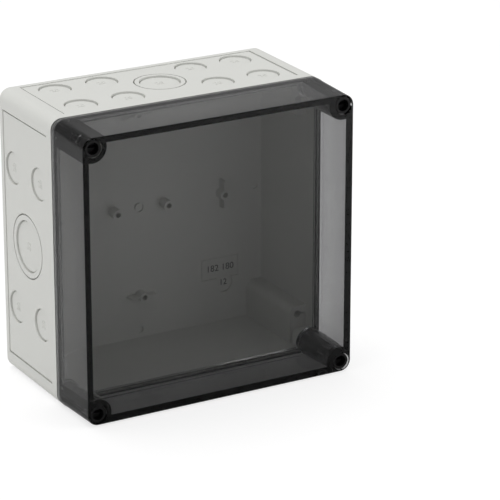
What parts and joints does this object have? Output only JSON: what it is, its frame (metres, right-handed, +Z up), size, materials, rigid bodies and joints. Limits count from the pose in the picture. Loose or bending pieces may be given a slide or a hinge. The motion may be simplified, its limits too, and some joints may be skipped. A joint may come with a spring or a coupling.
{
  "type": "electrical enclosure",
  "caption": "Wall-mounting electrical enclosure: grey tray base with cable knock-outs in its side walls, and a deep smoke-tinted clear cover with a seal and corner screws.",
  "frame": {"origin": "middle of the footprint, on the bottom wall's lower face", "axes": "+X to the right, +Y from the cover's front face to the back that faces the wall, +Z up"},
  "size_m": [0.182, 0.111, 0.18],
  "materials": {
    "base_plastic": "light grey moulded plastic with a fine matt texture",
    "knockout_plastic": "the same light grey plastic as the base",
    "cover_plastic": "polished clear plastic with a grey smoke tint",
    "screw_plastic": "black glass-filled plastic, satin",
    "seal_rubber": "black soft rubber"
  },
  "bodies": {
    "housing": {"base": "base_plastic", "knockout_bottom_middle": "knockout_plastic", "knockout_bottom_ring": "knockout_plastic", "knockout_bottom_small_1": "knockout_plastic", "knockout_bottom_small_2": "knockout_plastic", "knockout_bottom_small_3": "knockout_plastic", "knockout_bottom_small_4": "knockout_plastic", "knockout_bottom_small_5": "knockout_plastic", "knockout_bottom_small_6": "knockout_plastic", "knockout_bottom_small_7": "knockout_plastic", "knockout_bottom_small_8": "knockout_plastic", "knockout_left_middle": "knockout_plastic", "knockout_left_ring": "knockout_plastic", "knockout_left_small_1": "knockout_plastic", "knockout_left_small_2": "knockout_plastic", "knockout_left_small_3": "knockout_plastic", "knockout_left_small_4": "knockout_plastic", "knockout_right_middle": "knockout_plastic", "knockout_right_ring": "knockout_plastic", "knockout_right_small_1": "knockout_plastic", "knockout_right_small_2": "knockout_plastic", "knockout_right_small_3": "knockout_plastic", "knockout_right_small_4": "knockout_plastic", "knockout_top_middle": "knockout_plastic", "knockout_top_ring": "knockout_plastic", "knockout_top_small_1": "knockout_plastic", "knockout_top_small_2": "knockout_plastic", "knockout_top_small_3": "knockout_plastic", "knockout_top_small_4": "knockout_plastic", "knockout_top_small_5": "knockout_plastic", "knockout_top_small_6": "knockout_plastic", "knockout_top_small_7": "knockout_plastic", "knockout_top_small_8": "knockout_plastic"},
    "cover": {"cover": "cover_plastic", "cover_seal": "seal_rubber"},
    "screw_ring_1": {"screw_seal_1": "seal_rubber"},
    "screw_1": {"cover_screw_1": "screw_plastic"},
    "screw_ring_2": {"screw_seal_2": "seal_rubber"},
    "screw_2": {"cover_screw_2": "screw_plastic"},
    "screw_ring_3": {"screw_seal_3": "seal_rubber"},
    "screw_3": {"cover_screw_3": "screw_plastic"},
    "screw_ring_4": {"screw_seal_4": "seal_rubber"},
    "screw_4": {"cover_screw_4": "screw_plastic"}
  },
  "joints": [
    {"name": "cover_lift_off", "type": "slide", "parent": "housing", "child": "cover", "axis": [0, -1, 0], "range_m": [0, 0.08]},
    {"name": "screw_1_back_out", "type": "slide", "parent": "cover", "child": "screw_ring_1", "axis": [0, -1, 0], "range_m": [0, 0.0081]},
    {"name": "screw_1_turn", "type": "hinge", "parent": "screw_ring_1", "child": "screw_1", "pos_m": [-0.0834, -0.0547, 0.1724], "axis": [0, -1, 0], "range_deg": [0, 1440]},
    {"name": "screw_2_back_out", "type": "slide", "parent": "cover", "child": "screw_ring_2", "axis": [0, -1, 0], "range_m": [0, 0.0081]},
    {"name": "screw_2_turn", "type": "hinge", "parent": "screw_ring_2", "child": "screw_2", "pos_m": [0.0834, -0.0547, 0.1724], "axis": [0, -1, 0], "range_deg": [0, 1440]},
    {"name": "screw_3_back_out", "type": "slide", "parent": "cover", "child": "screw_ring_3", "axis": [0, -1, 0], "range_m": [0, 0.0081]},
    {"name": "screw_3_turn", "type": "hinge", "parent": "screw_ring_3", "child": "screw_3", "pos_m": [-0.0834, -0.0547, 0.0076], "axis": [0, -1, 0], "range_deg": [0, 1440]},
    {"name": "screw_4_back_out", "type": "slide", "parent": "cover", "child": "screw_ring_4", "axis": [0, -1, 0], "range_m": [0, 0.0081]},
    {"name": "screw_4_turn", "type": "hinge", "parent": "screw_ring_4", "child": "screw_4", "pos_m": [0.0834, -0.0547, 0.0076], "axis": [0, -1, 0], "range_deg": [0, 1440]}
  ],
  "couplings": [
    {"joint": "screw_1_back_out", "follows": "screw_1_turn", "m_per_rad": 0.00031831},
    {"joint": "screw_2_back_out", "follows": "screw_2_turn", "m_per_rad": 0.00031831},
    {"joint": "screw_3_back_out", "follows": "screw_3_turn", "m_per_rad": 0.00031831},
    {"joint": "screw_4_back_out", "follows": "screw_4_turn", "m_per_rad": 0.00031831}
  ]
}
